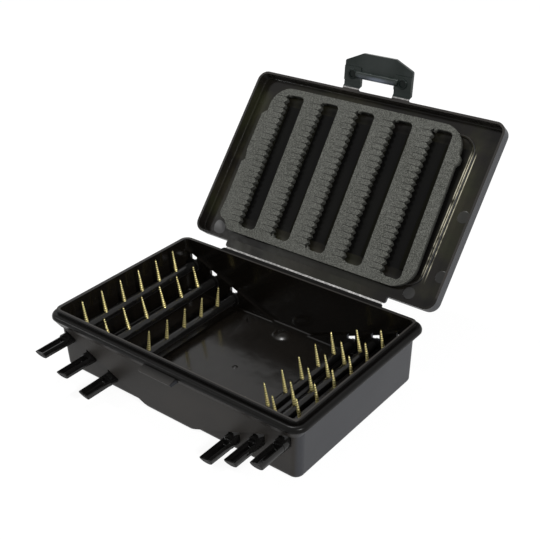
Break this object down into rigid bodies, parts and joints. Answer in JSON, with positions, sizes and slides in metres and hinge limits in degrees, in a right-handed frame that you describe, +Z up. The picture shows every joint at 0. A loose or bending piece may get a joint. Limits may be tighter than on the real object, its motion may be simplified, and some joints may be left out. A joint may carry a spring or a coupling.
{
  "type": "tube fly box",
  "caption": "Hinged tube-fly box: a moulded tray with turning pin spindles worked by levers, a lid with a slit foam, and a snap latch.",
  "frame": {"origin": "centre of the tray's underside", "axes": "+Y from the front, where the levers are, to the hinge side; +Z up; +X to the right seen from the front"},
  "size_m": [0.166, 0.2041, 0.1361],
  "materials": {
    "tray_plastic": "satin outside, glossy inside, injection moulded",
    "lid_plastic": "glossy moulded",
    "latch_plastic": "satin moulded",
    "film_plastic": "thin stressed film, paler where it bends",
    "spindle_plastic": "glossy moulded",
    "pin_brass": "bright ribbed brass",
    "foam": "closed-cell foam with a cut surface",
    "tape": "black double-sided tape, hidden under the foam"
  },
  "bodies": {
    "tray": {"base_tray": "tray_plastic", "lid_hinge_film": "film_plastic"},
    "lid": {"lid_shell": "lid_plastic", "foam_insert": "foam", "foam_tape": "tape", "latch_film_left": "film_plastic", "latch_film_right": "film_plastic"},
    "latch": {"latch": "latch_plastic"},
    "left_outer_spindle": {"spindle_left_outer": "spindle_plastic", "pins_left_outer": "pin_brass"},
    "left_middle_spindle": {"spindle_left_middle": "spindle_plastic", "pins_left_middle": "pin_brass"},
    "left_inner_spindle": {"spindle_left_inner": "spindle_plastic", "pins_left_inner": "pin_brass"},
    "right_outer_spindle": {"spindle_right_outer": "spindle_plastic", "pins_right_outer": "pin_brass"},
    "right_middle_spindle": {"spindle_right_middle": "spindle_plastic", "pins_right_middle": "pin_brass"},
    "right_inner_spindle": {"spindle_right_inner": "spindle_plastic", "pins_right_inner": "pin_brass"}
  },
  "joints": [
    {"name": "lid_hinge", "type": "hinge", "parent": "tray", "child": "lid", "pos_m": [0, 0.0567, 0.03315], "axis": [1, 0, 0], "range_deg": [-49, 131], "deforming": ["lid_hinge_film"]},
    {"name": "latch_hinge", "type": "hinge", "parent": "lid", "child": "latch", "pos_m": [0, 0.12916, 0.11605], "axis": [1, 0, 0], "range_deg": [-74, 56], "deforming": ["latch_film_left", "latch_film_right"]},
    {"name": "left_outer_turn", "type": "hinge", "parent": "tray", "child": "left_outer_spindle", "pos_m": [-0.0715, 0, 0.02], "axis": [0, 1, 0], "range_deg": [-13, 97]},
    {"name": "left_middle_turn", "type": "hinge", "parent": "tray", "child": "left_middle_spindle", "pos_m": [-0.0563, 0, 0.0137], "axis": [0, 1, 0], "range_deg": [-28, 102]},
    {"name": "left_inner_turn", "type": "hinge", "parent": "tray", "child": "left_inner_spindle", "pos_m": [-0.0411, 0, 0.0074], "axis": [0, 1, 0], "range_deg": [-48, 82]},
    {"name": "right_outer_turn", "type": "hinge", "parent": "tray", "child": "right_outer_spindle", "pos_m": [0.0715, 0, 0.02], "axis": [0, -1, 0], "range_deg": [-30, 80]},
    {"name": "right_middle_turn", "type": "hinge", "parent": "tray", "child": "right_middle_spindle", "pos_m": [0.0563, 0, 0.0137], "axis": [0, -1, 0], "range_deg": [-51, 79]},
    {"name": "right_inner_turn", "type": "hinge", "parent": "tray", "child": "right_inner_spindle", "pos_m": [0.0411, 0, 0.0074], "axis": [0, -1, 0], "range_deg": [-49, 81]}
  ]
}
